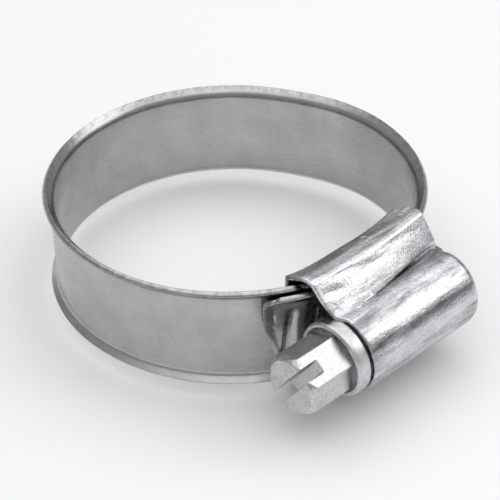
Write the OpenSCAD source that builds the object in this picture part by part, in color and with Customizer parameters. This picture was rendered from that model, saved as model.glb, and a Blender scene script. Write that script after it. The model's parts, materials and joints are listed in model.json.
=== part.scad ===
// Worm-drive hose clip: a band with turned-up edges, a one-piece housing with
// its saddle, and a screw with a slotted hexagon head.
// The origin is the centre of the hose that the clip holds. +Z is the hose axis,
// the housing is towards -Y, and the screw lies along X with its head at -X.

/* [Band] */
// Inside radius of the clip, the radius of the hose it goes round
bore_r = 19.2; // [18.8:0.1:19.6]
// Full width of the band over its turned-up edges
band_w = 12.3; // [11.8:0.1:12.6]
// Thickness of the strip
band_t = 0.6; // [0.5:0.05:0.6]
// Full width of the narrower free tail
tail_w = 11.2; // [10.4:0.1:11.2]
// Length of tail that sticks out of the housing
tail_out = 3.3; // [2:0.1:9.5]
// Distance from one pressed thread groove to the next
pitch = 2.5; // [2.4:0.1:2.8]

/* [Housing] */
// Length of the housing along the screw
housing_l = 16.8; // [16:0.1:17.4]
// Full height of the housing over its two folds
housing_h = 15.2; // [15:0.1:15.6]
// Thickness of the housing sheet
sheet_t = 0.55; // [0.45:0.05:0.55]
// Outside radius of the round barrel over the screw
barrel_r = 4.5; // [4.45:0.05:4.7]

/* [Screw] */
// Width of the hexagon head across its flats
hex_af = 6; // [5:0.1:7]
// Length of the hexagon head in front of the collar
hex_l = 5.7; // [4:0.1:7]
// Width of the screwdriver slot
slot_w = 1.4; // [1:0.1:1.8]
// Depth of the screwdriver slot
slot_d = 2.4; // [1:0.1:3]
// Radius of the round collar
collar_r = 4.2; // [4:0.05:4.3]

/* [Hidden] */
$fn = 96;

// Turned-up edge of the band: a bend of 45 degrees and a short straight lip
bend_r = 0.5;
bend_a = 45;
lip_l = 0.5;
lip_rise = (bend_r + band_t) * sin(bend_a) + lip_l * sin(bend_a);

// The threaded tail and the fixed end are arcs round the same centre, so the
// tail slides through the housing by turning about it.
slide_c = [0, -1.2];
fixed_r = bore_r + 0.1;
slide_gap = 0.3;
tail_r = fixed_r + band_t + slide_gap;
// The first hinge of the band and the widening of the tail are just outside the
// housing, this far from its middle on either side
mouth_x = 8.7;
mouth_a = 180 + acos(mouth_x / fixed_r);
tail_tip_a = 180 + acos(mouth_x / tail_r) - deg(tail_out / tail_r);
tail_wide_a = 360 - acos(mouth_x / tail_r);
tail_end_a = 352;
// Clearance between neighbouring links of the band
link_gap = 0.12;
// Half of the arc that lies on the hose, far from the housing
far_a = 60;
// Radius of the last link before the tail, tighter than its neighbours
corner_r = bore_r - 2.2;

// Saddle, flatter than the hose so that it touches it only in the middle
saddle_r = 30;
saddle_c = [0, saddle_r - bore_r];

// Fixed end of the band, which lies flat on the saddle: its width, and how far
// it reaches past the middle of the housing
fixed_w = 9.6;
fixed_reach = 5;

// Housing: its ends, the centre and radius of the fold over each band edge, the
// slope from the fold to the barrel, and the barrel's first angle from the top
housing_x0 = -housing_l / 2 - 0.1;
housing_x1 = housing_l / 2 + 0.2;
fold_u = 21.2;
fold_r = 1.4;
fold_a = 25;
slope_l = 2;
slope_drop = 1.4;
barrel_a = 108;
// Clearance above and below the band, and the slanted sides of its space, which
// end at this height where they meet the space for the worm
space_gap = 0.2;
space_chamfer = 0.5;
space_end_z = 3.5;

// Screw: its axis, thread, collar and the plain journals at the ends of the worm
screw_y = -25.3;
thread_r = 3.5;
core_r = 2.7;
barrel_gap = 0.2;
collar_x = -9.4;
collar_t = 1.7;
collar_gap = 0.1;
journal_r = 2.4;
journal_gap = 0.1;
journal_overlap = 0.5;
thread_x0 = -7.6;
thread_x1 = 6.6;
// Share of a turn that the thread's ridge takes, and each of its flanks, in
// degrees, and the straight stretches that a turn of it is drawn with
ridge_a = 110;
flank_a = 28;
thread_steps = 24;
turn_slices = 10;
// Hexagon head: how it is turned, and how far its corners are rounded off
hex_corner_a = 36;
hex_round = 0.1;

// Grooves in the tail, on the slant of the thread
groove_w = 1.3;
groove_d = 0.34;
groove_l = 7.4;
helix_a = atan(pitch / (2 * PI * thread_r));

function deg(r) = r * 180 / PI;
function dir(a) = [cos(a), sin(a)];
function arc(c, r, a0, a1, n = 16) = [for (i = [0 : n]) c + r * dir(a0 + (a1 - a0) * i / n)];
function mirrored(p) = [for (i = [len(p) - 1 : -1 : 0]) if (p[i][1] != 0) [p[i][0], -p[i][1]]];
function toward(v) = (atan2(v[1], v[0]) + 360) % 360;

// An arc that leaves the hose circle at angle a and runs smoothly into the
// circle of centre c and radius r: its radius, its centre and where they meet.
function bridge_r(a, c, r) =
    let (w = bore_r * dir(a) - c)
    (w * w - r * r) / (2 * (w * dir(a) - r));
function bridge_c(a, b) = -(b - bore_r) * dir(a);

left_b = bridge_r(90 + far_a, slide_c, fixed_r);
left_c = bridge_c(90 + far_a, left_b);
left_a = toward(left_b > fixed_r ? slide_c - left_c : left_c - slide_c);
corner_c = slide_c + (tail_r - corner_r) * dir(tail_end_a);
right_b = bridge_r(90 - far_a, corner_c, corner_r);
right_c = bridge_c(90 - far_a, right_b);
right_a = toward(corner_c - right_c);

// Each stretch of the ring, clockwise from the housing: centre, radius, first
// angle, last angle, number of links
STRETCHES = [
    [slide_c, fixed_r, mouth_a, left_a, 1],
    [left_c, left_b, left_a, 90 + far_a, 2],
    [[0, 0], bore_r, 90 + far_a, 90 - far_a, 3],
    [right_c, right_b, 90 - far_a, right_a, 1],
    [corner_c, corner_r, right_a, tail_end_a - 360, 1]
];
LINK_ARCS = [
    for (s = STRETCHES)
        for (i = [0 : s[4] - 1])
            [s[0], s[1], s[2] + (s[3] - s[2]) * i / s[4], s[2] + (s[3] - s[2]) * (i + 1) / s[4]]
];

// Outline of one turned-up edge, from the web outwards, on one face of the strip
function edge(z0, r) = [
    for (a = [0 : 9 : bend_a]) [band_t + bend_r - r * cos(a), z0 + r * sin(a)],
    [
        band_t + bend_r - r * cos(bend_a) + lip_l * sin(bend_a),
        z0 + r * sin(bend_a) + lip_l * cos(bend_a)
    ]
];
function backwards(p) = [for (i = [len(p) - 1 : -1 : 0]) p[i]];
function upside_down(p) = [for (q = p) [q[0], -q[1]]];

// Cross-section of the band, with its inside face on the Y axis
module band_section(w) {
    z0 = w / 2 - lip_rise;
    upper = concat(edge(z0, bend_r + band_t), backwards(edge(z0, bend_r)));
    polygon(concat(upper, backwards(upside_down(upper))));
}

// A piece of band along an arc, shortened by a clearance at each end
module band_arc(c, r, a0, a1, w, gap0, gap1) {
    lo = min(a0, a1);
    hi = max(a0, a1);
    g_lo = deg((a0 < a1 ? gap0 : gap1) / r);
    g_hi = deg((a0 < a1 ? gap1 : gap0) / r);
    translate([c[0], c[1], 0])
        rotate([0, 0, lo + g_lo])
            rotate_extrude(angle = hi - lo - g_lo - g_hi)
                translate([r, 0])
                    band_section(w);
}

module band_link(n) {
    l = LINK_ARCS[n - 1];
    color("silver")
        band_arc(l[0], l[1], l[2], l[3], band_w, link_gap / 2, link_gap / 2);
}

// The fixed end lies flat on the saddle, without turned-up edges
module band_fixed_end() {
    a1 = 180 + acos(-fixed_reach / fixed_r);
    color("silver")
        translate([slide_c[0], slide_c[1], 0])
            rotate([0, 0, mouth_a + deg(link_gap / 2 / fixed_r)])
                rotate_extrude(angle = a1 - mouth_a)
                    translate([fixed_r, -fixed_w / 2])
                        square([band_t, fixed_w]);
}

// Slanted grooves pressed into the outside face of the tail
module thread_grooves() {
    step = deg(pitch / (tail_r + band_t));
    first = ceil((tail_tip_a + 4 - 270) / step);
    last = floor((tail_end_a - 5 - 270) / step);
    for (i = [first : last])
        translate([slide_c[0], slide_c[1], 0])
            rotate([0, 0, 270 + i * step])
                translate([tail_r + band_t, 0, 0])
                    rotate([-helix_a, 0, 0])
                        cube([2 * groove_d, groove_w, groove_l], center = true);
}

module band_tail() {
    color("silver")
        difference() {
            union() {
                band_arc(slide_c, tail_r, tail_tip_a, tail_wide_a + 0.1, tail_w, 0, 0);
                band_arc(slide_c, tail_r, tail_wide_a, tail_end_a, band_w, 0, link_gap / 2);
            }
            thread_grooves();
        }
}

// Extrudes a shape drawn as distance out from the hose axis and height along Z
module along_screw(x0, x1) {
    translate([x0, 0, 0])
        rotate([90, 0, 90])
            mirror([1, 0, 0])
                linear_extrude(x1 - x0)
                    children();
}

// Puts a shape drawn along +Z onto the screw axis, from x towards +X, with its
// own X towards +Y
module on_screw(x) {
    translate([x, screw_y, 0])
        rotate([90, 0, 90])
            children();
}

module screw_bore(r, x0, x1) {
    on_screw(x0)
        cylinder(r = r, h = x1 - x0);
}

// Outside of the housing, as distance out and height: a fold over each edge of
// the band, a slope, and the barrel
module housing_outline() {
    h = housing_h / 2;
    half = concat(
        [[bore_r / 2, h]],
        arc([fold_u, h - fold_r], fold_r, 90, fold_a),
        [[fold_u + slope_l, h - slope_drop]],
        arc([-screw_y, 0], barrel_r, barrel_a, 0)
    );
    polygon(concat(half, mirrored(half)));
}

// Room for the band and its turned-up edges inside the folds
module band_space() {
    h = band_w / 2 + space_gap;
    lip_u = tail_r + band_t - slide_c[1] + bend_r + space_gap;
    half = [
        [bore_r / 2, h],
        [lip_u - space_chamfer, h],
        [lip_u, h - space_chamfer],
        [-screw_y - space_end_z / 2, space_end_z]
    ];
    polygon(concat(half, mirrored(half)));
}

module round_z(c, r, h) {
    translate([c[0], c[1], 0])
        cylinder(r = r, h = h, center = true);
}

module housing() {
    tall = 3 * housing_h;
    color("gainsboro")
        difference() {
            along_screw(housing_x0, housing_x1)
                housing_outline();
            // inside face of the saddle
            round_z(saddle_c, saddle_r, tall);
            // space for the band, outside the saddle sheet
            difference() {
                along_screw(housing_x0 - 1, housing_x1 + 1)
                    band_space();
                round_z(saddle_c, saddle_r + sheet_t, tall);
            }
            // space for the worm, with a rolled-in lip at the back
            screw_bore(thread_r + barrel_gap, housing_x0 - 1, housing_x1 - sheet_t);
            screw_bore(journal_r + journal_gap, thread_x1, housing_x1 + 1);
            // the barrel stops just behind the collar of the screw
            screw_bore(barrel_r + barrel_gap, housing_x0 - 1, collar_x + collar_t + collar_gap);
        }
}

// Worm thread: a core with one raised ridge, turned along its length
module worm() {
    turns = (thread_x1 - thread_x0) / pitch;
    function ridge_r(a) = core_r + (thread_r - core_r)
        * min(1, max(0, (ridge_a / 2 - abs((a + 180) % 360 - 180)) / flank_a));
    on_screw(thread_x0)
        rotate([0, 0, 360 * thread_x0 / pitch])
            linear_extrude(
                thread_x1 - thread_x0, twist = -360 * turns,
                slices = round(turn_slices * turns), $fn = thread_steps
            )
                polygon([
                    for (i = [0 : thread_steps - 1])
                        let (a = 360 * i / thread_steps)
                        ridge_r(a) * dir(a)
                ]);
}

module screw() {
    head_front = collar_x - hex_l;
    head_l = hex_l + collar_t / 2;
    flat_r = hex_af / 2;
    color("lightgray") {
        difference() {
            union() {
                // hexagon head with its front corners rounded off
                intersection() {
                    on_screw(head_front)
                        rotate([0, 0, hex_corner_a])
                            cylinder(r = flat_r / cos(30), h = head_l, $fn = 6);
                    on_screw(head_front)
                        cylinder(r1 = flat_r + hex_round, r2 = flat_r + hex_round + head_l, h = head_l);
                }
                screw_bore(collar_r, collar_x, collar_x + collar_t);
                screw_bore(journal_r, collar_x, thread_x0 + journal_overlap);
                screw_bore(journal_r, thread_x1 - journal_overlap, housing_x1);
            }
            // screwdriver slot
            on_screw(head_front)
                rotate([0, 0, hex_corner_a + 90])
                    cube([3 * hex_af, slot_w, 2 * slot_d], center = true);
        }
        worm();
    }
}

housing();
screw();
band_fixed_end();
band_tail();
band_link(1);  // band_link_01
band_link(2);  // band_link_02
band_link(3);  // band_link_03
band_link(4);  // band_link_04
band_link(5);  // band_link_05
band_link(6);  // band_link_06
band_link(7);  // band_link_07
band_link(8);  // band_link_08
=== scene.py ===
import json
import math

import bmesh
import bpy
import numpy as np
from mathutils import Matrix, Vector, noise

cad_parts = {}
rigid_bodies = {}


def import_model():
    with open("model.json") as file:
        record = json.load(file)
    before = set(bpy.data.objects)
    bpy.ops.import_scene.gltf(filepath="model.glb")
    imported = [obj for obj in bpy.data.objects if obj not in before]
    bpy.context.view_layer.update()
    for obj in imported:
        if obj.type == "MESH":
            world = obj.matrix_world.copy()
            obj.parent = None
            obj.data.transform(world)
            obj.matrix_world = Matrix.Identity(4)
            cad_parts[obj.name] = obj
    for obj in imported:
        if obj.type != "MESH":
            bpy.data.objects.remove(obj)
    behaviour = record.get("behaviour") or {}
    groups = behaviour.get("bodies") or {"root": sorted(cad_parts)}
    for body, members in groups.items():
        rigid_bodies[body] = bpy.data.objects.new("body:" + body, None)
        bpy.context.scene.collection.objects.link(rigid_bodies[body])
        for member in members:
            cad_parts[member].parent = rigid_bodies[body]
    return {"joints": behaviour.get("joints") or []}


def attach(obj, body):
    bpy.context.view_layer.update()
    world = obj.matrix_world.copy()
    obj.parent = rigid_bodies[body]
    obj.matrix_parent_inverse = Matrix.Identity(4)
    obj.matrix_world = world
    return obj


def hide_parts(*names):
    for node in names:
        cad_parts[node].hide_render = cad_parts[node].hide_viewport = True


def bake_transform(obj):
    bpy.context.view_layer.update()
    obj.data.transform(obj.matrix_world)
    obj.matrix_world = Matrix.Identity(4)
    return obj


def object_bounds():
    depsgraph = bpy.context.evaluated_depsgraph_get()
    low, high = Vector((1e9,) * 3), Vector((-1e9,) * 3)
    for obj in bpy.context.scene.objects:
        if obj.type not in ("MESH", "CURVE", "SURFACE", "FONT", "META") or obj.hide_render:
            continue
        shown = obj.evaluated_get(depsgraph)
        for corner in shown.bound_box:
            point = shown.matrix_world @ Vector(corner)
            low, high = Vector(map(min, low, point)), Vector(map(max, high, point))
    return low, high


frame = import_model()
cad_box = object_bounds()

# Lengths are in millimetres up to the moment a mesh is made. The clip stands as
# in the frame: hose axis along Z through the origin, housing towards -Y, screw
# along X with its head at -X. Angles whose names end in _A are in degrees, except
# for LIP_A, HELIX_A and HEX_CORNER_A, which are in radians.
MM = 0.001

# Band: the ring's inside radius, the strip's width and thickness, and its tail
BORE_R = 19.2
BAND_W = 12.3
BAND_T = 0.6
TAIL_W = 11.2
TAIL_OUT = 3.3  # how far the tail sticks out of the housing
PITCH = 2.5
SLIDE_C = np.array([0.0, -1.2])  # centre of the arcs that run through the housing
FIXED_R = BORE_R + 0.1
TAIL_R = FIXED_R + BAND_T + 0.3
MOUTH_X = 8.7
FAR_A = 60.0  # the far side of the ring is a true circle this far either way from +Y
TAIL_END_A = 352.0
CORNER_R = BORE_R - 2.2
LIP_A = math.radians(45)
LIP_BEND_R = 1.0
LIP_L = 0.75
FIXED_W = 9.6
FIXED_REACH = 13.6

# Band: points of the cross-section, and the finish of its lips
RING_WEB_POINTS = 8
TAIL_WEB_POINTS = 23  # finer, for the grooves
LIP_BEND_POINTS = 8
LIP_PLACES = (0.35, 0.7, 0.94)
EDGE_PLACES = (0.97, 0.75, 0.3, -0.3, -0.75, -0.97)
EDGE_ROUNDING = 0.09
NICK_START_Z = 4.6
NICK_FADE = 1.4
NICK_D = 0.03
FLAT_END_S = -3.2  # the strip is flat up to here, and has its full lips FLAT_FADE on
FLAT_FADE = 2.8
RING_STEP = 0.4
TAIL_STEP = 0.16

# Housing
SHEET_T = 0.55
SADDLE_R = 30.0
SADDLE_U = SADDLE_R - BORE_R
HOUSING_X0 = -8.5
HOUSING_X1 = 8.6
BARREL_X0 = -7.4
BARREL_R = 4.5
BARREL_TAPER = 0.06
JOURNAL_HOLE_R = 2.55
BARREL_END_X = 9.0
ROLL_R = 1.2
END_L = 1.6
# Top of the saddle, and how much higher it is at the rear and lower at the front, where
# it comes down over SADDLE_DROP_L from SADDLE_DROP_X on
SADDLE_TOP_Z = 7.42
SADDLE_RISE = 0.08
SADDLE_DROP = 0.92
SADDLE_DROP_X = -0.5
SADDLE_DROP_L = 8.0
# Corners of the fold and of the slope: (distance out, height) at the front and at the
# rear, and how far each bows outwards in the middle
FOLD_CORNERS = [
    ((20.2, 7.5), (20.0, 7.56), 0.6),
    ((21.75, 7.55), (21.2, 7.5), 0.55),
    ((24.6, 4.5), (23.3, 4.75), 0.75),
]
# Angle on the barrel where the slope meets it, at the front and at the rear
BARREL_FIRST_A = (4.0, -24.0)
CORNER_RADII = [0.65, 2.4, 1.0, 1.6]
CORNER_POINTS = [9, 7, 12, 12]
FLAT_STEPS = [14, 5, 5, 9]
BARREL_POINTS = 46
HOUSING_ROWS = 110
ROW_CROWDING = 0.05  # rows are closer together in the middle
# The rear corner of each fold is cut back towards the hose: by how much, and where,
# as (limit, fade) of the distance out and of the height
FOLD_CUT = 1.5
FOLD_CUT_U = (20.4, 1.9)
FOLD_CUT_Z = (4.6, 2.4)
# Columns count as barrel from this angle on, over this fade, beyond this distance out
SHARE_FIRST_A = -24
SHARE_FADE_A = 34
SHARE_FIRST_U = 21.5
# Rows that round a cut edge of the sheet: share of the way in, and distance out
CUT_EDGE = [(0.12, 0.07), (0.5, 0.1), (0.88, 0.07)]
# Waviness of the sheet: height, stretch along X, feature size, seed
SHEET_WAVES = [(0.055, 0.4, 5.0, 1), (0.02, 0.4, 2.0, 5), (0.012, 0.2, 0.8, 3), (0.004, 1, 0.5, 9)]
# Creases pressed into the slope: depth, x, distance out, length, width, slant
CREASED_U = (19.5, 24.5)
SLOPE_CREASES = [
    (0.12, -1.2, 22.9, 2.2, 0.26, 0.04),
    (0.14, -6.6, 23.2, 1.3, 0.24, 0.1),
    (0.09, -4.6, 22.4, 2.2, 0.2, 0.06),
    (0.08, 3.4, 22.3, 2.6, 0.2, -0.05),
    (0.05, 2.6, 20.9, 1.8, 0.12, 0.03),
]
# Shallow marks on the barrel: depth, x, angle, length, width in degrees, slant
BARREL_CREASES = [
    (0.03, -3.0, 24, 4.0, 3.0, 0.6),
    (0.03, 3.0, 27, 3.0, 4.0, -0.5),
    (0.025, 0.5, 60, 6.0, 3.0, 0.4),
]

# Screw
SCREW_U = 25.3
THREAD_R = 3.5
CORE_R = 2.7
RIDGE_FOOT_A = 74
RIDGE_FLANK_A = 44
THREAD_POINTS = 170
THREAD_FADE = 0.5
TURN_SIDES = 96
COLLAR_R = 4.2
COLLAR_X = -9.4
COLLAR_T = 1.7
DISH_D = 0.6
DISH_R = 3.72
JOURNAL_R = 2.4
THREAD_X0 = -7.6
THREAD_X1 = 6.6
HEX_AF = 6.0
HEX_L = 5.7
HEX_CORNER_A = math.radians(36)
SLOT_W = 1.4
SLOT_D = 2.4
FORGED_VOXEL = 0.075
HELIX_A = math.atan(PITCH / (2 * math.pi * THREAD_R))


def smooth(x):
    """Smooth step from 0 to 1, of a number or an array."""
    x = np.clip(x, 0.0, 1.0)
    return x * x * (3 - 2 * x)


def mix(a, b, t):
    return a + (b - a) * t


def direction(a):
    """Unit vector at angle a in degrees."""
    return np.array([math.cos(math.radians(a)), math.sin(math.radians(a))])


def toward(v):
    """Angle of a vector in degrees, from 0 to 360."""
    return math.degrees(math.atan2(v[1], v[0])) % 360


def wave(x, y, z, scale, seed=0.0):
    """Smooth noise between -1 and 1 at a point, with features of about scale mm."""
    return noise.noise(Vector((x / scale + seed, y / scale - seed, z / scale + 2 * seed)))


# ---------------------------------------------------------------- mesh helpers


def make_piece(name, points, faces, sharp=45.0, attributes=None):
    """A mesh object from points in millimetres, smooth but for its sharp edges."""
    mesh = bpy.data.meshes.new(name)
    mesh.from_pydata([tuple(p) for p in np.asarray(points) * MM], [], [tuple(f) for f in faces])
    for key, values in (attributes or {}).items():
        layer = mesh.attributes.new(key, "FLOAT_VECTOR", "POINT")
        layer.data.foreach_set("vector", np.asarray(values, np.float32).ravel())
    mesh.validate()
    mesh.update()
    mesh.shade_smooth()
    mesh.set_sharp_from_angle(angle=math.radians(sharp))
    obj = bpy.data.objects.new(name, mesh)
    bpy.context.scene.collection.objects.link(obj)
    return obj


def grid_faces(rows, columns, close_columns=True):
    """Quads of a grid of points, row by row."""
    faces = []
    for i in range(rows - 1):
        for j in range(columns if close_columns else columns - 1):
            a, b = i * columns + j, i * columns + (j + 1) % columns
            faces.append((a, b, b + columns, a + columns))
    return faces


def recalculate_normals(obj):
    """Turns every face outwards."""
    bm = bmesh.new()
    bm.from_mesh(obj.data)
    bmesh.ops.recalc_face_normals(bm, faces=bm.faces)
    bm.to_mesh(obj.data)
    bm.free()


# ------------------------------------------------------------------------ band


def bridge(a, c, r):
    """Arc from the hose circle at angle a into the circle (c, r): its centre and radius."""
    w = BORE_R * direction(a) - c
    b = (w @ w - r * r) / (2 * (w @ direction(a) - r))
    return -(b - BORE_R) * direction(a), b


def band_route():
    """The band's inside face, clockwise from the mouth of the housing to the tip of
    the tail, as arcs (centre, radius, first angle, last angle)."""
    mouth_a = 180 + math.degrees(math.acos(MOUTH_X / FIXED_R))
    left_c, left_r = bridge(90 + FAR_A, SLIDE_C, FIXED_R)
    left_a = toward(SLIDE_C - left_c if left_r > FIXED_R else left_c - SLIDE_C)
    corner_c = SLIDE_C + (TAIL_R - CORNER_R) * direction(TAIL_END_A)
    right_c, right_r = bridge(90 - FAR_A, corner_c, CORNER_R)
    right_a = toward(corner_c - right_c)
    tip_a = 180 + math.degrees(math.acos(MOUTH_X / TAIL_R) - TAIL_OUT / TAIL_R)
    return [
        (SLIDE_C, FIXED_R, mouth_a, left_a),
        (left_c, left_r, left_a, 90 + FAR_A),
        (np.zeros(2), BORE_R, 90 + FAR_A, 90 - FAR_A),
        (right_c, right_r, 90 - FAR_A, right_a),
        (corner_c, CORNER_R, right_a, TAIL_END_A - 360),
        (SLIDE_C, TAIL_R, TAIL_END_A - 360, tip_a - 360),
    ]


ROUTE = band_route()
ROUTE_L = [abs(math.radians(a1 - a0)) * r for _, r, a0, a1 in ROUTE]
ROUTE_S = np.concatenate([[0.0], np.cumsum(ROUTE_L)])

# Places on the route, as distances from the mouth: the start of the tail's arc, its
# tip, the point under the middle of the screw, and where it narrows at the housing
TAIL_START_S, TAIL_TIP_S = ROUTE_S[5], ROUTE_S[6]
MIDDLE_S = TAIL_START_S + math.radians(TAIL_END_A - 270) * TAIL_R
TAIL_WIDE_A = 360 - math.degrees(math.acos(MOUTH_X / TAIL_R))
TAIL_NARROW_S = TAIL_START_S + math.radians(TAIL_END_A - TAIL_WIDE_A) * TAIL_R - 0.6
TAIL_NARROW_FADE = 1.2
# The very end of the tail is bent outwards
FLARE_D = 0.28
FLARE_L = 1.1
# Grooves pressed into the tail
GROOVE_STEP = PITCH * TAIL_R / (TAIL_R + BAND_T)
GROOVE_HALF_W = 0.78
GROOVE_HALF_L = 3.9
GROOVE_D = 0.36
GROOVE_FLAT = 1.25
GROOVE_END_L = 1.3
GROOVE_LIMIT_Z = 4.4
GROOVES_S = (TAIL_START_S + 4.0, TAIL_TIP_S - 0.9)
# Outline of the tail's tip: its rounded upper corner and the two steps by which it
# falls back below, each as how far back, from what height and over what height. Then
# the length of tail that is drawn in to it.
TIP_CORNER_L, TIP_CORNER_Z, TIP_CORNER_H = 1.3, 3.9, 1.75
TIP_STEPS = [(0.95, 1.8, 3.6), (0.9, -1.2, 4.4)]
TIP_REACH = 3.4


def on_route(s):
    """Point of the band's inside face at distance s from the mouth, and its outward normal."""
    i = int(np.clip(np.searchsorted(ROUTE_S, s, side="right") - 1, 0, len(ROUTE) - 1))
    c, r, a0, _ = ROUTE[i]
    n = direction(a0 - math.degrees((s - ROUTE_S[i]) / r))
    return c + r * n, n


def section(half_w, bend, web_points):
    """The strip's cross-section as (distance out from its inside face, height), closed."""
    t = BAND_T / 2
    sin_b, cos_b = math.sin(bend), math.cos(bend)
    web = half_w - (LIP_BEND_R * sin_b + LIP_L * cos_b + t * sin_b)
    mid = [(0.0, z, 0.0) for z in np.linspace(0, web, web_points)[1:]]
    for a in np.linspace(0, bend, LIP_BEND_POINTS)[1:]:
        mid.append((LIP_BEND_R * (1 - math.cos(a)), web + LIP_BEND_R * math.sin(a), a))
    d0, z0 = mid[-1][:2]
    for k in LIP_PLACES:
        mid.append((d0 + k * LIP_L * sin_b, z0 + k * LIP_L * cos_b, bend))
    d1, z1 = d0 + LIP_L * sin_b, z0 + LIP_L * cos_b
    outer = [(t + d + t * math.cos(a), z - t * math.sin(a)) for d, z, a in mid]
    inner = [(t + d - t * math.cos(a), z + t * math.sin(a)) for d, z, a in mid]
    edge = []
    for q in EDGE_PLACES:
        back = EDGE_ROUNDING * abs(q) ** 6
        out = t + d1 + q * t * cos_b - back * sin_b
        edge.append((out, z1 - q * t * sin_b - back * cos_b))
    upper = [(BAND_T, 0.0)] + outer + edge + inner[::-1] + [(0.0, 0.0)]
    lower = [(d, -z) for d, z in upper[1:-1]]
    return np.array(upper + lower[::-1])


def end_faces(first, columns, flip):
    """Quads that close an end of the strip, between its outside and its inside face."""
    top = columns // 2
    upper = list(range(top + 1))
    lower = [0] + list(range(columns - 1, top - 1, -1))
    faces = []
    for side, turned in ((upper, flip), (lower, not flip)):
        for j in range(top // 2):
            quad = [side[j], side[j + 1], side[top - j - 1], side[top - j]]
            face = list(dict.fromkeys(quad))
            if len(face) > 2:
                faces.append(tuple(first + k for k in (face[::-1] if turned else face)))
    return faces


def strip_noise(s, z):
    """Slight unevenness of the rolled strip, in mm outwards."""
    broad = 0.035 * wave(s, z, 0, scale=9, seed=3)
    return broad + 0.012 * wave(s, 2 * z, 0, scale=2.6, seed=7)


def flare(s):
    """How far the very end of the tail is bent outwards."""
    return FLARE_D * float(smooth((s - TAIL_TIP_S + FLARE_L) / FLARE_L))


def groove(s, z, d):
    """Depth, as a negative number, of the slanted grooves pressed into the tail. They
    show on its outside face only."""
    on_tail = GROOVES_S[0] <= s <= GROOVES_S[1] and abs(z) <= GROOVE_LIMIT_Z
    if not on_tail or d < BAND_T / 2:
        return 0.0
    x = (s - MIDDLE_S + z * math.tan(HELIX_A)) / GROOVE_STEP
    off = abs(x - round(x)) * GROOVE_STEP
    across = float(smooth(GROOVE_FLAT * (1 - off / GROOVE_HALF_W)))
    ends = float(smooth((GROOVE_HALF_L - abs(z)) / GROOVE_END_L))
    return -GROOVE_D * across * ends


def sweep_strip(s_values, shape, web_points, shift=None):
    """A stretch of strip swept along the route: its points, its faces, and for each
    point its place (along, up, out) on the strip. shape(s) gives half width and bend of
    the lips, shift(s, z) how far the cross-section's points slide along the route."""
    points, along = [], []
    for s in s_values:
        profile = section(*shape(s), web_points)
        for d, z in profile:
            t = s + (shift(s, z) if shift else 0.0)
            p, n = on_route(t)
            on_lip = smooth((abs(z) - NICK_START_Z) / NICK_FADE)
            nick = NICK_D * on_lip * wave(t, z, d, scale=1.1, seed=11)
            out = d + strip_noise(t, z) + groove(t, z, d) + flare(s)
            q = p + n * out
            points.append((q[0], q[1], z + math.copysign(nick, z)))
            along.append((t, z, d))
    rows, columns = len(s_values), len(profile)
    faces = grid_faces(rows, columns)
    faces += end_faces(0, columns, False) + end_faces((rows - 1) * columns, columns, True)
    return points, faces, along


def ring_shape(s):
    """Half width and bend of the lips along the ring: flat inside the housing."""
    k = float(smooth((s - FLAT_END_S) / FLAT_FADE))
    return FIXED_W / 2 + k * (BAND_W - FIXED_W) / 2, LIP_A * k


def tail_shape(s):
    """Half width and bend of the lips along the tail: narrower from the housing on."""
    k = float(smooth((s - TAIL_NARROW_S) / TAIL_NARROW_FADE))
    return BAND_W / 2 - k * (BAND_W - TAIL_W) / 2, LIP_A


def tip_shift(s, z):
    """Draws the end of the tail in to its outline: a rounded upper corner, a straight
    upper half and a lower half that falls back in a wave."""
    over = max(0.0, (z - TIP_CORNER_Z) / TIP_CORNER_H)
    corner = TIP_CORNER_L * (1 - math.sqrt(max(0.0, 1 - over**2)))
    back = sum(depth * float(smooth((top - z) / height)) for depth, top, height in TIP_STEPS)
    near_tip = float(smooth((s - TAIL_TIP_S + TIP_REACH) / TIP_REACH))
    ragged = 0.08 * wave(z, 0, 0, scale=2.2, seed=5)
    return -near_tip * (corner + back + ragged)


def spaced(s0, s1, step):
    """Places along a stretch, closer together near its ends so that the shading of
    neighbouring stretches meets."""
    close = [0.03, 0.09, 0.2]
    margin = 0.4
    count = max(2, int((s1 - s0 - 2 * margin) / step) + 1)
    middle = np.linspace(s0 + margin, s1 - margin, count)
    return [s0] + [s0 + c for c in close] + list(middle) + [s1 - c for c in close[::-1]] + [s1]


BEND_JOINTS = [j for j in frame["joints"] if j["name"].startswith("band_bend")]


def hinge_places():
    """Distance along the route of each hinge of the band. The hinges lie on it."""
    places = []
    for joint in BEND_JOINTS:
        p = np.array(joint["pos_m"][:2]) / MM
        fits = []
        for i, (c, r, a0, _) in enumerate(ROUTE):
            s = ROUTE_S[i] + math.radians((a0 - toward(p - c) + 180) % 360 - 180) * r
            if ROUTE_S[i] - 0.01 <= s <= ROUTE_S[i + 1] + 0.01:
                fits.append((abs(np.linalg.norm(p - c) - r), s))
        places.append(min(fits)[1])
    return places


HINGES = hinge_places()
TAIL_JOIN_S = HINGES[-1] + 4.0


def build_band():
    """One stretch of strip over each hinge of the band."""
    middles = [(a + b) / 2 for a, b in zip(HINGES[:-1], HINGES[1:])]
    starts = [-FIXED_REACH] + middles
    ends = middles + [TAIL_JOIN_S]
    pieces = []
    for i, joint in enumerate(BEND_JOINTS):
        places = spaced(starts[i], ends[i], RING_STEP)
        points, faces, along = sweep_strip(places, ring_shape, RING_WEB_POINTS)
        piece = make_piece("band_span_%02d" % (i + 1), points, faces, attributes={"strip": along})
        recalculate_normals(piece)
        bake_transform(piece)
        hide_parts("band_fixed_end" if i == 0 else joint["parent"])
        pieces.append(piece)
    return pieces


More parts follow.
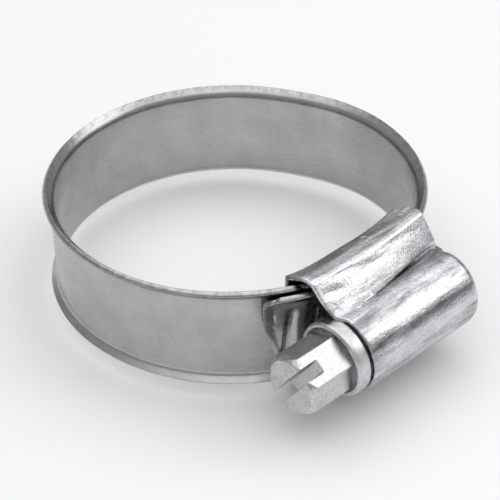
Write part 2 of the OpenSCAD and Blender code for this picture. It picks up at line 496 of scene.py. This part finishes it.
def build_tail():
    """The rest of the strip: through the housing, with its grooves, to the cut tip."""
    places = spaced(TAIL_JOIN_S, TAIL_TIP_S, TAIL_STEP)
    points, faces, along = sweep_strip(places, tail_shape, TAIL_WEB_POINTS, tip_shift)
    tail = make_piece("band_tail_strip", points, faces, attributes={"strip": along})
    recalculate_normals(tail)
    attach(tail, "band_tail")
    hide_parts("band_tail")
    return tail


# --------------------------------------------------------------------- housing


def fillet(p0, p1, p2, r, n):
    """Points of a corner p1 rounded with radius r."""
    p0, p1, p2 = (np.array(p, float) for p in (p0, p1, p2))
    a, b = p0 - p1, p2 - p1
    la, lb = np.linalg.norm(a), np.linalg.norm(b)
    a, b = a / la, b / lb
    half = math.acos(float(np.clip(a @ b, -1, 1))) / 2
    cut = min(r / math.tan(half), 0.48 * la, 0.48 * lb)
    r = cut * math.tan(half)
    centre = p1 + (a + b) / np.linalg.norm(a + b) * r / math.sin(half)
    v0, v1 = p1 + a * cut - centre, p1 + b * cut - centre
    out = []
    turn = math.atan2(v0[0] * v1[1] - v0[1] * v1[0], v0 @ v1)
    for t in np.linspace(0, turn, n):
        c, s = math.cos(t), math.sin(t)
        out.append(centre + np.array([c * v0[0] - s * v0[1], s * v0[0] + c * v0[1]]))
    return out


def housing_profile(x):
    """Upper half of the housing's outside at x, as (distance out, height): up the
    saddle, over the fold, down the slope and round the barrel. Always as many points."""
    k = float(smooth((x - HOUSING_X0) / (HOUSING_X1 - HOUSING_X0)))
    saddle = math.sqrt(SADDLE_R**2 - x * x) - SADDLE_U
    bow = 1 - (x / HOUSING_X1) ** 2
    drop = float(smooth((SADDLE_DROP_X - x) / SADDLE_DROP_L))
    top_z = SADDLE_TOP_Z - SADDLE_DROP * drop + SADDLE_RISE * k
    corners = [(saddle, 0.0), (saddle, top_z)]
    for (u0, z0), (u1, z1), bow_out in FOLD_CORNERS:
        corners.append((mix(u0, u1, k) + bow_out * bow, mix(z0, z1, k)))
    first_a = math.radians(mix(*BARREL_FIRST_A, k))
    barrel_r = BARREL_R + BARREL_TAPER * k
    barrel = [
        (SCREW_U + barrel_r * math.sin(a), barrel_r * math.cos(a))
        for a in np.linspace(first_a, math.pi / 2, BARREL_POINTS)
    ]
    corners.append(barrel[0])
    line = [np.array(corners[0])]
    for i, (radius, count, steps) in enumerate(zip(CORNER_RADII, CORNER_POINTS, FLAT_STEPS)):
        arc = fillet(corners[i], corners[i + 1], corners[i + 2], radius, count)
        start = line[-1]
        line.extend(mix(start, arc[0], t) for t in np.linspace(0, 1, steps + 1)[1:-1])
        line.extend(arc)
    start = line[-1]
    line.extend(mix(start, np.array(barrel[0]), t) for t in (0.25, 0.5, 0.75))
    line.extend(np.array(b) for b in barrel)
    return np.array(line)


KNOWN_PROFILES = {}


def profile_at(x):
    """The whole outline of the housing's outside at x, closed. Many points share an x,
    so each outline is worked out once."""
    key = round(float(x), 3)
    if key not in KNOWN_PROFILES:
        upper = housing_profile(min(max(key, HOUSING_X0), HOUSING_X1))
        lower = [(u, -z) for u, z in upper[1:-1]]
        KNOWN_PROFILES[key] = np.array(list(upper) + lower[::-1])
    return KNOWN_PROFILES[key]


def dent(x, q, x0, q0, length, width, slant):
    """A bump of height 1 at (x0, q0) on the sheet, long along X, with slanted ends."""
    dx = (x - x0) / length
    dq = (q - q0 - slant * (x - x0)) / width
    return math.exp(-dx * dx - dq * dq)


def sheet_relief(x, u, z):
    """Waviness and pressing marks of the housing's outside, in mm outwards."""
    relief = sum(h * wave(k * x, u, z, size, seed) for h, k, size, seed in SHEET_WAVES)
    if z > 0 and CREASED_U[0] < u < CREASED_U[1]:
        for depth, *place in SLOPE_CREASES:
            relief -= depth * dent(x, u, *place)
    a = math.degrees(math.atan2(u - SCREW_U, z))
    for depth, *place in BARREL_CREASES:
        relief -= depth * dent(x, a, *place)
    return relief


def barrel_share(profile):
    """1 on the barrel and 0 on the saddle and folds, for each column of an outline."""
    a = np.degrees(np.arctan2(profile[:, 0] - SCREW_U, np.abs(profile[:, 1])))
    share = smooth((a - SHARE_FIRST_A) / SHARE_FADE_A)
    share[profile[:, 0] < SHARE_FIRST_U] = 0
    return share


def barrel_end():
    """Path of the barrel's end, as (x, distance in from its outside): straight on,
    rolled in, then flat down to the hole for the screw's journal."""
    start = BARREL_END_X - ROLL_R
    path = [(mix(HOUSING_X1 - END_L, start, t), 0.0) for t in (0.33, 0.67, 1.0)]
    for a in np.linspace(0, math.pi / 2, 10)[1:]:
        path.append((start + ROLL_R * math.sin(a), ROLL_R * (1 - math.cos(a))))
    for t in np.linspace(0, 1, 7)[1:]:
        path.append((BARREL_END_X, ROLL_R + t * (BARREL_R - ROLL_R - JOURNAL_HOLE_R)))
    return path


def housing_grid():
    """The housing's outside before its relief: rows from front to rear, each a closed
    outline of (x, distance out, height)."""
    front_profile, rear_profile = profile_at(HOUSING_X0), profile_at(HOUSING_X1)
    columns = range(len(front_profile))
    front = mix(HOUSING_X0, BARREL_X0, barrel_share(front_profile))
    rear_u, rear_z = rear_profile[:, 0], np.abs(rear_profile[:, 1])
    cut = smooth((FOLD_CUT_U[0] - rear_u) / FOLD_CUT_U[1])
    cut = cut * smooth((rear_z - FOLD_CUT_Z[0]) / FOLD_CUT_Z[1])
    body = HOUSING_X1 - FOLD_CUT * cut - END_L
    rows = []
    for t in np.linspace(0, 1, HOUSING_ROWS):
        x = mix(front, body, t + ROW_CROWDING * math.sin(2 * math.pi * t))
        rows.append([(x[j], *profile_at(x[j])[j]) for j in columns])
    # the folds run on to the end, and the barrel is rolled in to the journal
    rear_share = barrel_share(rear_profile)
    path = barrel_end()
    for count, (barrel_x, drop) in enumerate(path, 1):
        fold_x = body + END_L * count / len(path)
        row = []
        for j in columns:
            fold = np.array([fold_x[j], *profile_at(fold_x[j])[j]])
            u, z = profile_at(min(barrel_x, HOUSING_X1))[j]
            shrink = 1 - drop / math.hypot(u - SCREW_U, z)
            barrel = np.array([barrel_x, SCREW_U + (u - SCREW_U) * shrink, z * shrink])
            row.append(mix(fold, barrel, rear_share[j]))
        rows.append(row)
    return np.array(rows)


def cut_edge(outer, inner, along):
    """Rows between outside and inside that round the cut edge of the sheet."""
    along = along / np.linalg.norm(along, axis=1)[:, None]
    return [outer + (inner - outer) * share + along * out for share, out in CUT_EDGE]


def build_housing():
    """The housing as one folded sheet: its outside, its inside and its cut edges."""
    grid = housing_grid()
    rows, columns = grid.shape[:2]
    around = np.roll(grid, -1, axis=1) - np.roll(grid, 1, axis=1)
    along = np.gradient(grid, axis=0)
    normal = np.cross(around, along)
    normal /= np.linalg.norm(normal, axis=2)[:, :, None]
    if normal[rows // 2, columns // 2][1] < 0:
        normal = -normal
    relief = np.array([[sheet_relief(*p) for p in row] for row in grid])[:, :, None]
    outer = grid + normal * relief
    inner = grid - normal * (SHEET_T - 0.5 * relief)
    rear_edge = cut_edge(outer[-1], inner[-1], along[-1])
    front_edge = cut_edge(outer[0], inner[0], -along[0])
    skin = np.array(list(outer) + rear_edge + list(inner[::-1]) + front_edge[::-1])
    points = skin.reshape(-1, 3)
    faces = grid_faces(len(skin), columns)
    last = (len(skin) - 1) * columns
    for j in range(columns):
        k = (j + 1) % columns
        faces.append((last + j, last + k, k, j))
    points = np.stack([points[:, 0], -points[:, 1], points[:, 2]], axis=1)
    housing = make_piece("housing_shell", points, faces, sharp=60)
    recalculate_normals(housing)
    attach(housing, "housing")
    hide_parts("housing")
    return housing


# ----------------------------------------------------------------------- screw


def ridge(a):
    """Radius of the worm at angle a, in degrees, from the middle of its ridge."""
    off = abs((a + 180) % 360 - 180)
    return CORE_R + (THREAD_R - CORE_R) * float(smooth((RIDGE_FOOT_A - off) / RIDGE_FLANK_A))


def shank_outline():
    """Stations along the screw behind its head: x, radius, and share of thread."""
    front, back = COLLAR_X, COLLAR_X + COLLAR_T
    dish = COLLAR_X + DISH_D
    end = HOUSING_X1 - 0.1
    # the dished front of the collar
    places = [(dish, r) for r in (0.4, 1.6, 2.6, 3.2, 3.4)]
    places += [(dish - 0.06, 3.52), (dish - 0.25, 3.62), (front + 0.06, 3.68), (front, 3.74)]
    # its rounded front rim
    places += [(front, 3.86), (front + 0.05, 4.02), (front + 0.17, 4.13), (front + 0.32, 4.18)]
    # its round side and its back
    places += [(front + 0.48, COLLAR_R)]
    places += [(x, COLLAR_R) for x in np.linspace(front + 0.7, back - 0.25, 5)]
    places += [(back - 0.1, COLLAR_R - 0.04), (back - 0.02, COLLAR_R - 0.14)]
    places += [(back, COLLAR_R - 0.3), (back, 3.2)]
    # the front journal
    places += [(back + 0.02, JOURNAL_R + 0.1), (back + 0.1, JOURNAL_R)]
    outline = [(x, r, 0) for x, r in places]
    for x in np.linspace(THREAD_X0 + 0.05, THREAD_X1, THREAD_POINTS):
        share = smooth((x - THREAD_X0) / THREAD_FADE) * smooth((THREAD_X1 - x) / THREAD_FADE)
        outline.append((x, JOURNAL_R, float(share)))
    # the rear journal and its blunt end
    places = [(x, JOURNAL_R) for x in np.linspace(THREAD_X1 + 0.15, end - 0.3, 8)]
    places += [(end - 0.12, JOURNAL_R - 0.04), (end - 0.03, JOURNAL_R - 0.14)]
    places += [(end, JOURNAL_R - 0.3), (end, 1.4), (end - 0.04, 0.5)]
    return outline + [(x, r, 0) for x, r in places]


def dish_painted_shade(x, y, z):
    """1 in the dish round the head, where the colour carries painted shade, and 0 elsewhere."""
    inside = smooth((DISH_R - math.hypot(y + SCREW_U, z)) / 0.1)
    return float(inside * (x < COLLAR_X + 1))


def build_shank():
    """Collar, journals and worm, turned about the screw's axis."""
    points = []
    outline = shank_outline()
    for x, r, share in outline:
        for j in range(TURN_SIDES):
            a = 360 * j / TURN_SIDES
            c, s = math.cos(math.radians(a)), math.sin(math.radians(a))
            radius = mix(r, ridge(a - 360 * x / PITCH), share)
            radius += 0.012 * wave(x, radius * c, radius * s, scale=1.3, seed=2)
            points.append((x, -SCREW_U + radius * c, radius * s))
    faces = grid_faces(len(outline), TURN_SIDES)
    for row, flip in ((0, True), (len(outline) - 1, False)):
        hub = len(points)
        points.append((outline[row][0], -SCREW_U, 0.0))
        for j in range(TURN_SIDES):
            a, b = row * TURN_SIDES + j, row * TURN_SIDES + (j + 1) % TURN_SIDES
            faces.append((hub, b, a) if flip else (hub, a, b))
    # Painted shade: the dish round the head is marked for a dark colour that stands in for the
    # shade between head and collar.
    painted_shade = [(dish_painted_shade(*p), 0, 0) for p in points]
    shank = make_piece("screw_shank", points, faces, sharp=50, attributes={"painted_shade": painted_shade})
    recalculate_normals(shank)
    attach(shank, "screw")
    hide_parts("screw")
    return shank


def prism(name, outline, x0, x1):
    """A solid with a flat outline of (towards +Y, height) about the screw axis."""
    n = len(outline)
    points = [(x, -SCREW_U + y, z) for x in (x0, x1) for y, z in outline]
    faces = [tuple(range(n)), tuple(range(2 * n - 1, n - 1, -1))]
    faces += [(j, n + j, n + (j + 1) % n, (j + 1) % n) for j in range(n)]
    solid = make_piece(name, points, faces)
    recalculate_normals(solid)
    return solid


def corner_cone(x0, x1):
    """The cone that turns down the front corners of the hexagon."""
    flat = HEX_AF / 2
    stations = [(x0 - 0.02, flat - 0.1), (x0 + 0.12, flat + 0.02)]
    stations += [(x0 + 1.2, flat + 0.9), (x1 + 0.1, flat + 1.2)]
    angles = [2 * math.pi * j / TURN_SIDES for j in range(TURN_SIDES)]
    points = [
        (x, -SCREW_U + r * math.cos(a), r * math.sin(a)) for x, r in stations for a in angles
    ]
    faces = grid_faces(len(stations), TURN_SIDES)
    faces += [tuple(range(TURN_SIDES)), tuple(range(TURN_SIDES * 3, TURN_SIDES * 4))]
    cone = make_piece("cone", points, faces)
    recalculate_normals(cone)
    return cone


def apply_modifiers(obj):
    """Replaces a piece's mesh with what its modifiers make of it."""
    depsgraph = bpy.context.evaluated_depsgraph_get()
    mesh = bpy.data.meshes.new_from_object(obj.evaluated_get(depsgraph))
    obj.modifiers.clear()
    obj.data = mesh


def cut_with(obj, tool, operation):
    """Cuts a piece with another one, which is used up."""
    modifier = obj.modifiers.new(operation.lower(), "BOOLEAN")
    modifier.operation = operation
    modifier.solver = "EXACT"
    modifier.object = tool
    apply_modifiers(obj)
    bpy.data.objects.remove(tool)


def roughen_head(head, x0):
    """Uneven forged surface, most of all on the front, which is also marked for painted shade."""
    mesh = head.data
    normals = [v.normal.copy() for v in mesh.vertices]
    painted_shade = []
    for v, n in zip(mesh.vertices, normals):
        x, y, z = (c / MM for c in v.co)
        front = float(smooth((x0 + 0.5 - x) / 0.5))
        amount = 0.016 * wave(x, y, z, scale=2.0, seed=4)
        amount += 0.008 * wave(x, y, z, scale=0.6, seed=8)
        torn = 0.05 * wave(x, y, z, scale=0.9, seed=6) + 0.03 * wave(x, y, z, scale=0.4, seed=12)
        v.co += n * ((amount + front * torn) * MM)
        # Painted shade: faces on the front of the head, turned towards -X, are marked to be
        # darkened in colour.
        painted_shade.extend((0.45 * front * float(smooth((-n.x - 0.3) / 0.4)), 0.0, 0.0))
    mesh.attributes.new("painted_shade", "FLOAT_VECTOR", "POINT").data.foreach_set("vector", painted_shade)


def build_head():
    """Slotted hexagon head: a prism with turned-down corners and a cut slot, then
    remeshed so that its edges are as blunt and its faces as uneven as forged steel."""
    x0 = COLLAR_X - HEX_L
    x1 = COLLAR_X + DISH_D + 0.2
    corner_r = HEX_AF / 2 / math.cos(math.pi / 6)
    angles = [HEX_CORNER_A + i * math.pi / 3 for i in range(6)]
    hexagon = [(corner_r * math.cos(a), corner_r * math.sin(a)) for a in angles]
    head = prism("screw_head", hexagon, x0, x1)
    cut_with(head, corner_cone(x0, x1), "INTERSECT")
    slot_a = HEX_CORNER_A + math.pi / 2
    along = HEX_AF * np.array([math.cos(slot_a), math.sin(slot_a)])
    side = SLOT_W / 2 * np.array([-math.sin(slot_a), math.cos(slot_a)])
    slot = [tuple(i * along + j * side) for i, j in ((-1, -1), (1, -1), (1, 1), (-1, 1))]
    cut_with(head, prism("slot", slot, x0 - 1, x0 + SLOT_D), "DIFFERENCE")
    remesh = head.modifiers.new("remesh", "REMESH")
    remesh.mode = "VOXEL"
    remesh.voxel_size = FORGED_VOXEL * MM
    soften = head.modifiers.new("soften", "SMOOTH")
    soften.factor = 0.5
    soften.iterations = 3
    apply_modifiers(head)
    roughen_head(head, x0)
    head.data.shade_smooth()
    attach(head, "screw")
    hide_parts("screw")
    return head


# ------------------------------------------------------------------- materials


def new_material(name):
    material = bpy.data.materials.new(name)
    material.use_nodes = True
    material.node_tree.nodes.clear()
    return material, material.node_tree


def object_place(tree):
    return tree.nodes.new("ShaderNodeTexCoord").outputs["Object"]


def attribute(tree, name):
    made = tree.nodes.new("ShaderNodeAttribute")
    made.attribute_name = name
    return made


def noise_node(tree, vector, scale, detail, rough):
    made = tree.nodes.new("ShaderNodeTexNoise")
    made.inputs["Scale"].default_value = scale
    made.inputs["Detail"].default_value = detail
    made.inputs["Roughness"].default_value = rough
    tree.links.new(vector, made.inputs["Vector"])
    return made.outputs["Fac"]


def stretched(tree, vector, scale):
    mapping = tree.nodes.new("ShaderNodeMapping")
    mapping.inputs["Scale"].default_value = scale
    tree.links.new(vector, mapping.inputs["Vector"])
    return mapping.outputs["Vector"]


def math_node(tree, operation, value, other=None):
    made = tree.nodes.new("ShaderNodeMath")
    made.operation = operation
    tree.links.new(value, made.inputs[0])
    if other is not None:
        made.inputs[1].default_value = other
    return made.outputs["Value"]


def grey(level):
    """A neutral grey with the slight blue of zinc."""
    return (level * 0.994, level * 0.999, level * 1.004, 1.0)


def ramp(tree, value, stops):
    """Turns a value into a grey, by stops of (value, level)."""
    made = tree.nodes.new("ShaderNodeValToRGB")
    band = made.color_ramp
    while len(band.elements) > 1:
        band.elements.remove(band.elements[-1])
    band.elements[0].position = stops[0][0]
    band.elements[0].color = grey(stops[0][1])
    for place, level in stops[1:]:
        element = band.elements.new(place)
        element.color = grey(level)
    tree.links.new(value, made.inputs["Fac"])
    return made.outputs["Color"]


def mixed(tree, blend_type, factor, a, b):
    """Mixes colour b into colour a. Each input is a socket or a constant."""
    made = tree.nodes.new("ShaderNodeMix")
    made.data_type = "RGBA"
    made.blend_type = blend_type
    inputs = made.inputs
    for socket, value in ((inputs["Factor"], factor), (inputs["A"], a), (inputs["B"], b)):
        if isinstance(value, bpy.types.NodeSocket):
            tree.links.new(value, socket)
        else:
            socket.default_value = value
    return made.outputs["Result"]


def darkened(tree, colour, factor, value, stops):
    """Multiplies a colour by the greys that stops give a value."""
    return mixed(tree, "MULTIPLY", factor, colour, ramp(tree, value, stops))


def bump(tree, height, strength, distance, normal=None):
    """Bumps of the given distance in metres, on top of an earlier normal if any."""
    made = tree.nodes.new("ShaderNodeBump")
    made.inputs["Strength"].default_value = strength
    made.inputs["Distance"].default_value = distance
    tree.links.new(height, made.inputs["Height"])
    if normal is not None:
        tree.links.new(normal, made.inputs["Normal"])
    return made.outputs["Normal"]


def finish_metal(tree, colour, roughness, normal):
    shader = tree.nodes.new("ShaderNodeBsdfPrincipled")
    shader.inputs["Metallic"].default_value = 1.0
    tree.links.new(colour, shader.inputs["Base Color"])
    tree.links.new(roughness, shader.inputs["Roughness"])
    tree.links.new(normal, shader.inputs["Normal"])
    out = tree.nodes.new("ShaderNodeOutputMaterial")
    tree.links.new(shader.outputs["BSDF"], out.inputs["Surface"])


def edge_wear(tree, colour, low, high, level):
    """Lightens the raised edges, where handling has polished them."""
    geometry = tree.nodes.new("ShaderNodeNewGeometry")
    share = ramp(tree, geometry.outputs["Pointiness"], [(low, 0.0), (high, 1.0)])
    return mixed(tree, "MIX", share, colour, grey(level))


def band_material():
    """Rolled zinc-plated strip: long fine streaks, cloudy tone, small stains and duller,
    speckled lips."""
    material, tree = new_material("band_zinc_strip")
    strip = attribute(tree, "strip").outputs["Vector"]
    place = object_place(tree)
    along = stretched(tree, strip, (0.12, 7.0, 1.0))
    streaks = noise_node(tree, along, scale=1.0, detail=5, rough=0.6)
    clouds = noise_node(tree, place, scale=260, detail=3, rough=0.5)
    speck = noise_node(tree, place, scale=3400, detail=2, rough=0.5)
    wear = noise_node(tree, place, scale=1500, detail=3, rough=0.6)
    base = ramp(tree, clouds, [(0.3, 0.42), (0.7, 0.5)])
    base = darkened(tree, base, 1.0, streaks, [(0.25, 0.93), (0.75, 1.0)])
    base = darkened(tree, base, 0.6, speck, [(0.28, 0.75), (0.42, 1.0)])
    parts = tree.nodes.new("ShaderNodeSeparateXYZ")
    tree.links.new(strip, parts.inputs["Vector"])
    height = math_node(tree, "ABSOLUTE", parts.outputs["Y"])
    reach = math_node(tree, "DIVIDE", height, BAND_W / 2)
    lips = ramp(tree, reach, [(0.9, 0.0), (0.955, 1.0)])
    base = mixed(tree, "MIX", lips, base, ramp(tree, wear, [(0.35, 0.32), (0.65, 0.5)]))
    rough = ramp(tree, streaks, [(0.2, 0.2), (0.8, 0.33)])
    normal = bump(tree, streaks, strength=0.12, distance=0.00001)
    normal = bump(tree, clouds, strength=0.3, distance=0.00004, normal=normal)
    finish_metal(tree, base, rough, normal)
    return material


def housing_material():
    """Bright zinc plating over a pressed sheet: fine sparkle, soft mottling, scuffs and
    rolling streaks along X."""
    material, tree = new_material("housing_bright_zinc")
    place = object_place(tree)
    mottle = noise_node(tree, place, scale=420, detail=4, rough=0.6)
    grain = noise_node(tree, place, scale=3600, detail=3, rough=0.6)
    short = stretched(tree, place, (0.25, 1.0, 1.0))
    scuff = noise_node(tree, short, scale=1500, detail=4, rough=0.7)
    long = stretched(tree, place, (0.14, 1.0, 1.0))
    rolled = noise_node(tree, long, scale=520, detail=4, rough=0.65)
    base = ramp(tree, mottle, [(0.3, 0.6), (0.68, 0.78)])
    base = darkened(tree, base, 1.0, rolled, [(0.38, 0.45), (0.54, 1.0)])
    base = darkened(tree, base, 0.9, grain, [(0.34, 0.78), (0.56, 1.0)])
    base = darkened(tree, base, 0.85, scuff, [(0.3, 0.6), (0.48, 1.0)])
    base = edge_wear(tree, base, low=0.54, high=0.64, level=0.86)
    rough = ramp(tree, mottle, [(0.25, 0.17), (0.75, 0.3)])
    normal = bump(tree, grain, strength=0.9, distance=0.00004)
    normal = bump(tree, mottle, strength=0.4, distance=0.00006, normal=normal)
    finish_metal(tree, base, rough, normal)
    return material


def screw_material():
    """Zinc-plated forged screw: blotchy tone, dull pits, bright rubbed edges, and painted shade
    in the dish and on the front."""
    material, tree = new_material("screw_forged_zinc")
    place = object_place(tree)
    blotch = noise_node(tree, place, scale=700, detail=4, rough=0.6)
    grain = noise_node(tree, place, scale=3000, detail=3, rough=0.6)
    around = stretched(tree, place, (9.0, 1.0, 1.0))
    turned = noise_node(tree, around, scale=700, detail=3, rough=0.6)
    shade_noise = noise_node(tree, place, scale=1800, detail=4, rough=0.7)
    base = ramp(tree, blotch, [(0.3, 0.56), (0.7, 0.72)])
    base = darkened(tree, base, 0.8, grain, [(0.28, 0.7), (0.5, 1.0)])
    base = darkened(tree, base, 0.5, turned, [(0.25, 0.75), (0.6, 1.0)])
    base = edge_wear(tree, base, low=0.54, high=0.66, level=0.82)
    # Painted shade in the dish and on the front of the head: the colour is mixed towards a dark,
    # mottled grey.
    painted_shade = attribute(tree, "painted_shade").outputs["Fac"]
    base = mixed(tree, "MIX", painted_shade, base, ramp(tree, shade_noise, [(0.42, 0.07), (0.62, 0.42)]))
    rough = ramp(tree, blotch, [(0.25, 0.28), (0.75, 0.45)])
    normal = bump(tree, grain, strength=0.5, distance=0.00002)
    normal = bump(tree, blotch, strength=0.4, distance=0.00005, normal=normal)
    finish_metal(tree, base, rough, normal)
    return material


def floor_material():
    """Matt, nearly white, with a faint variation in tone."""
    material, tree = new_material("floor_pale")
    cloud = noise_node(tree, object_place(tree), scale=3, detail=2, rough=0.5)
    shader = tree.nodes.new("ShaderNodeBsdfPrincipled")
    shader.inputs["Roughness"].default_value = 0.9
    tree.links.new(ramp(tree, cloud, [(0.3, 0.88), (0.7, 0.9)]), shader.inputs["Base Color"])
    out = tree.nodes.new("ShaderNodeOutputMaterial")
    tree.links.new(shader.outputs["BSDF"], out.inputs["Surface"])
    return material


def paint(objects, material):
    for obj in objects:
        obj.data.materials.clear()
        obj.data.materials.append(material)


# ----------------------------------------------------------------------- scene

FLOOR_HALF = 900.0
FLOOR_GAP = 0.05
FLOOR_POINTS = 9

SOFTBOX_PLACE = Vector((330, -260, 280))
SOFTBOX_AIM = Vector((0, -15, 0))
SOFTBOX_SIZE = (300, 240)
SOFTBOX_WATTS = 0.4
# Brightness of the room from straight below (0) to straight above (1)
ROOM_LEVELS = [(0.0, 0.16), (0.25, 0.24), (0.55, 0.27), (0.68, 0.55), (0.8, 0.95), (1.0, 0.98)]
ROOM_STRENGTH = 1.6

# The direction from the clip to the camera, its distance and what it turns about, then
# its roll and the direction it looks in, in its own axes, which centre the picture
CAMERA_BACK = Vector((-0.5461, -0.6065, 0.5779)).normalized()
CAMERA_DISTANCE = 177.1
CAMERA_TARGET = Vector((0.0, -0.9, 0.0))
CAMERA_ROLL = math.radians(-1.95)
CAMERA_AIM = Vector((0.01083, -0.01641, -1.0))
LENS = 112.3
SENSOR_W = 36


def build_floor():
    """A wide pale floor just under the clip."""
    z = cad_box[0][2] / MM - FLOOR_GAP
    places = np.linspace(-FLOOR_HALF, FLOOR_HALF, FLOOR_POINTS)
    points = [(x, y, z) for y in places for x in places]
    faces = grid_faces(FLOOR_POINTS, FLOOR_POINTS, close_columns=False)
    floor = make_piece("floor", points, faces)
    floor.data.materials.append(floor_material())


def build_softbox():
    """A large soft light to the camera's right, in front of the clip and above it."""
    data = bpy.data.lights.new("softbox", "AREA")
    data.shape = "RECTANGLE"
    data.size, data.size_y = (side * MM for side in SOFTBOX_SIZE)
    data.energy = SOFTBOX_WATTS
    light = bpy.data.objects.new("softbox", data)
    bpy.context.scene.collection.objects.link(light)
    light.location = SOFTBOX_PLACE * MM
    aim = SOFTBOX_AIM * MM - light.location
    light.rotation_euler = aim.to_track_quat("-Z", "Y").to_euler()


def build_room():
    """An even studio room: dim below, bright above."""
    world = bpy.data.worlds.new("studio")
    bpy.context.scene.world = world
    world.use_nodes = True
    tree = world.node_tree
    tree.nodes.clear()
    place = tree.nodes.new("ShaderNodeTexCoord").outputs["Generated"]
    axes = tree.nodes.new("ShaderNodeSeparateXYZ")
    tree.links.new(place, axes.inputs["Vector"])
    back = tree.nodes.new("ShaderNodeBackground")
    back.inputs["Strength"].default_value = ROOM_STRENGTH
    tree.links.new(ramp(tree, axes.outputs["Z"], ROOM_LEVELS), back.inputs["Color"])
    out = tree.nodes.new("ShaderNodeOutputWorld")
    tree.links.new(back.outputs["Background"], out.inputs["Surface"])


def build_camera():
    """The camera at the photograph's angle: above the clip, to the front and left."""
    right = Vector((0, 0, 1)).cross(CAMERA_BACK).normalized()
    up = CAMERA_BACK.cross(right)
    turn = Matrix((right, up, CAMERA_BACK)).transposed().to_4x4()
    turn = turn @ Matrix.Rotation(CAMERA_ROLL, 4, "Z")
    turn = turn @ Vector((0, 0, -1)).rotation_difference(CAMERA_AIM).to_matrix().to_4x4()
    data = bpy.data.cameras.new("camera")
    data.lens = LENS
    data.sensor_width = SENSOR_W
    data.clip_start = 0.01
    camera = bpy.data.objects.new("camera", data)
    bpy.context.scene.collection.objects.link(camera)
    place = (CAMERA_TARGET + CAMERA_BACK * CAMERA_DISTANCE) * MM
    camera.matrix_world = Matrix.Translation(place) @ turn
    bpy.context.scene.camera = camera


band = build_band() + [build_tail()]
paint(band, band_material())
paint([build_housing()], housing_material())
paint([build_head(), build_shank()], screw_material())
build_floor()
build_softbox()
build_room()
build_camera()
bpy.context.scene.view_settings.view_transform = "Standard"
